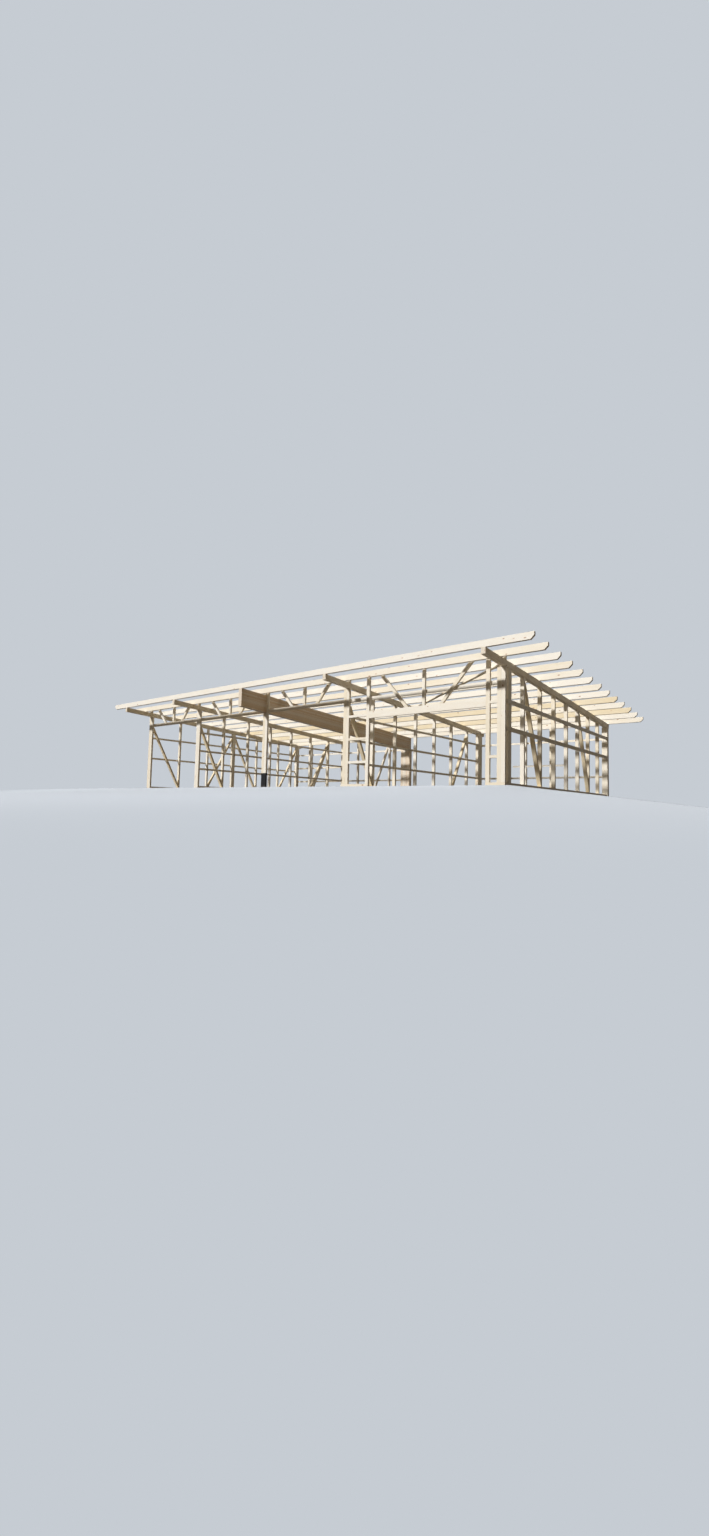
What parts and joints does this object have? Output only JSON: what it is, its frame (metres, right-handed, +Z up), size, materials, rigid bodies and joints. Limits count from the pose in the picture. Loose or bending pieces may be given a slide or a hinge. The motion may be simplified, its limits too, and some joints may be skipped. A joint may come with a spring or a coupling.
{
  "type": "timber roof frame",
  "caption": "Timber frame of an open-fronted shed: purlins on sloping roof beams and a deep binder, over a latticed front line, posts, studs, rails and braces.",
  "frame": {"origin": "floor level under the middle of the roof", "axes": "+X along the front to the wider bay's end, +Y from the open front to the rear wall, +Z up"},
  "size_m": [24.17, 13.7526, 4.5886],
  "materials": {
    "spruce": "sawn",
    "glulam": "planed",
    "black_steel": "satin"
  },
  "bodies": {
    "root": {"braces_a": "spruce", "braces_b": "spruce", "braces_d": "spruce", "braces_e": "spruce", "deep_binder_c": "glulam", "door_header": "spruce", "door_jambs": "spruce", "front_chords": "spruce", "front_post_a": "spruce", "front_post_b": "spruce", "front_post_c": "spruce", "front_post_d": "spruce", "front_post_e": "spruce", "front_soles": "spruce", "front_struts": "spruce", "front_top_plate": "spruce", "plate_packers": "spruce", "purlin_01": "spruce", "purlin_02": "spruce", "purlin_03": "spruce", "purlin_04": "spruce", "purlin_05": "spruce", "purlin_06": "spruce", "purlin_07": "spruce", "purlin_08": "spruce", "purlin_09": "spruce", "purlin_10": "spruce", "purlin_11": "spruce", "purlin_12": "spruce", "purlin_13": "spruce", "rails_a": "spruce", "rails_b": "spruce", "rails_d": "spruce", "rails_e": "spruce", "rear_braces": "spruce", "rear_head_rails": "spruce", "rear_post_a": "spruce", "rear_post_b": "spruce", "rear_post_c": "glulam", "rear_post_d": "spruce", "rear_post_e": "spruce", "rear_rails": "spruce", "rear_soles": "spruce", "rear_studs": "spruce", "roof_beam_a": "spruce", "roof_beam_b": "spruce", "roof_beam_d": "spruce", "roof_beam_e": "spruce", "side_panel_rails": "spruce", "sole_a": "spruce", "sole_b": "spruce", "sole_d": "spruce", "sole_e": "spruce", "steel_stub_c": "black_steel", "studs_a": "spruce", "studs_b": "spruce", "studs_d": "spruce", "studs_e": "spruce", "wind_brace": "spruce"}
  },
  "joints": []
}
